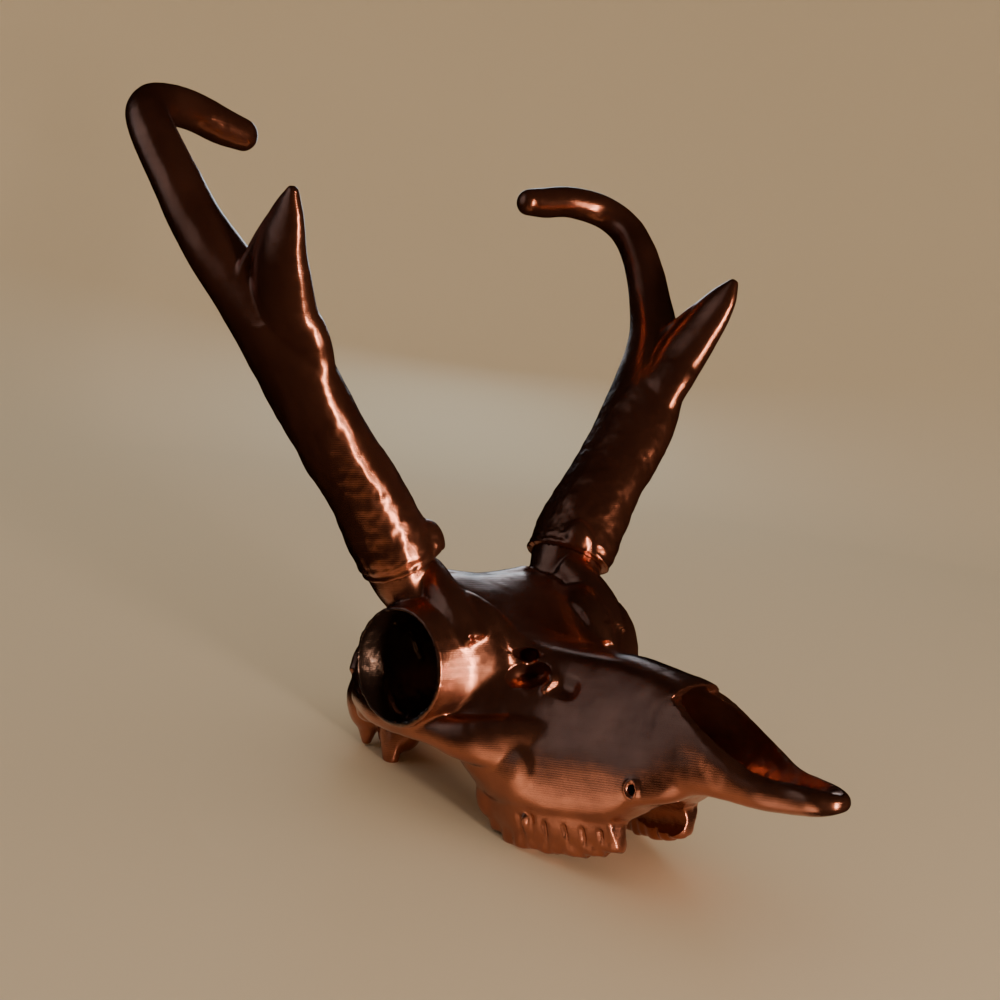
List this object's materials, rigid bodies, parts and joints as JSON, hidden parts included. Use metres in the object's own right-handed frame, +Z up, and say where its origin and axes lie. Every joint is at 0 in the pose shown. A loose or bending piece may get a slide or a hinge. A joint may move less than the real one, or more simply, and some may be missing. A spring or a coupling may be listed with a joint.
{
  "type": "pronghorn antelope skull with horns",
  "caption": "Pronghorn antelope skull replica without a lower jaw, with a pair of pronged horns that hook back and inward, cast in glossy copper-coloured plastic.",
  "frame": {"origin": "bottom centre of the bounding box, with the skull lying nose up on its back molars and the bony processes behind them", "axes": "+X to the animal's left, +Y to its back, +Z up; the muzzle points along -Y and a little up"},
  "size_m": [0.3146, 0.3368, 0.2987],
  "materials": {
    "skull_copper": "glossy copper-coloured printed plastic with fine layer lines",
    "horn_left_copper": "glossy copper-coloured printed plastic with fine layer lines",
    "horn_right_copper": "glossy copper-coloured printed plastic with fine layer lines"
  },
  "bodies": {
    "root": {"skull": "skull_copper", "horn_left": "horn_left_copper", "horn_right": "horn_right_copper"}
  },
  "joints": []
}
